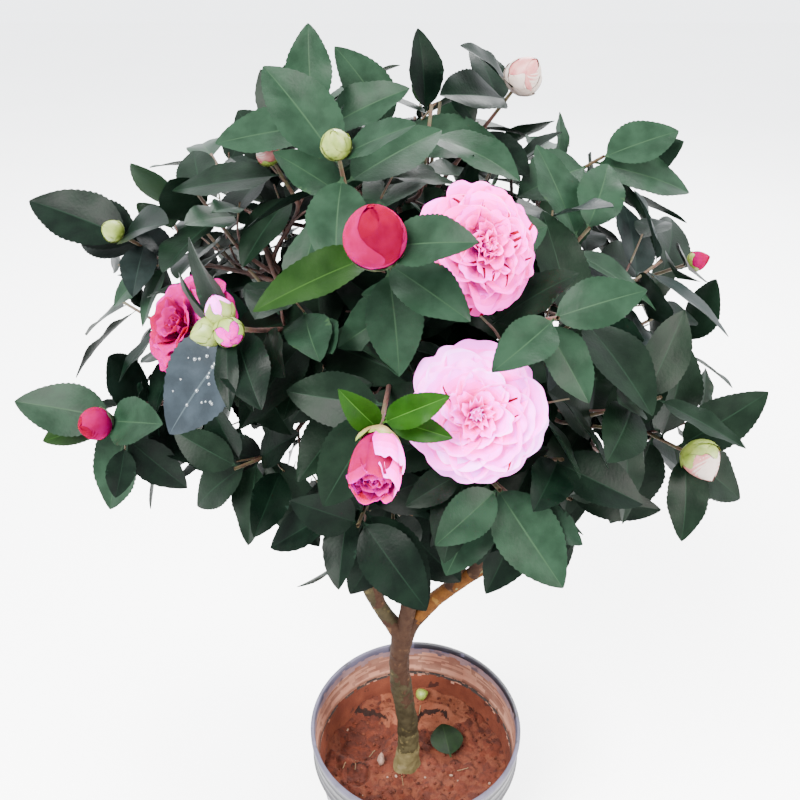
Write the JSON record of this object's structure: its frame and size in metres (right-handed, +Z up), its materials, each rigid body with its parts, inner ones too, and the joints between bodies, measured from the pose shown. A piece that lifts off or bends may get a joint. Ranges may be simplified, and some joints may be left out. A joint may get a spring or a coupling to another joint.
{
  "type": "potted camellia shrub",
  "caption": "Camellia trained as a small round-headed tree, in bloom, standing in a filled round nursery pot.",
  "frame": {"origin": "centre of the pot's flat underside, on the ground", "axes": "+Z up along the stem, -Y to the front of the crown, +X to the right seen from the front"},
  "size_m": [0.6477, 0.6128, 1.0003],
  "materials": {
    "pot": "dusty matt",
    "soil": "crumbly",
    "trunk": "smooth bark",
    "boughs": "smooth bark",
    "foliage": "glossy leaves",
    "fallen": "matt"
  },
  "bodies": {
    "root": {"pot": "pot", "soil": "soil", "trunk": "trunk", "bough_left": "boughs", "bough_right": "boughs", "bough_top": "boughs", "bough_left_upper": "boughs", "bough_front_left": "boughs", "bough_front_left_low": "boughs", "bough_back_left": "boughs", "bough_front": "boughs", "bough_front_top": "boughs", "bough_back": "boughs", "bough_back_left_upper": "boughs", "bough_back_right_upper": "boughs", "bough_front_right": "boughs", "bough_right_upper": "boughs", "bough_back_right": "boughs", "bough_underside": "boughs", "foliage_left": "foliage", "foliage_right": "foliage", "foliage_top": "foliage", "foliage_left_upper": "foliage", "foliage_front_left": "foliage", "foliage_front_left_low": "foliage", "foliage_back_left": "foliage", "foliage_front": "foliage", "foliage_front_top": "foliage", "foliage_back": "foliage", "foliage_back_left_upper": "foliage", "foliage_back_right_upper": "foliage", "foliage_front_right": "foliage", "foliage_right_upper": "foliage", "foliage_back_right": "foliage", "foliage_underside": "foliage", "fallen_leaf": "fallen", "fallen_bud": "fallen"}
  },
  "joints": []
}
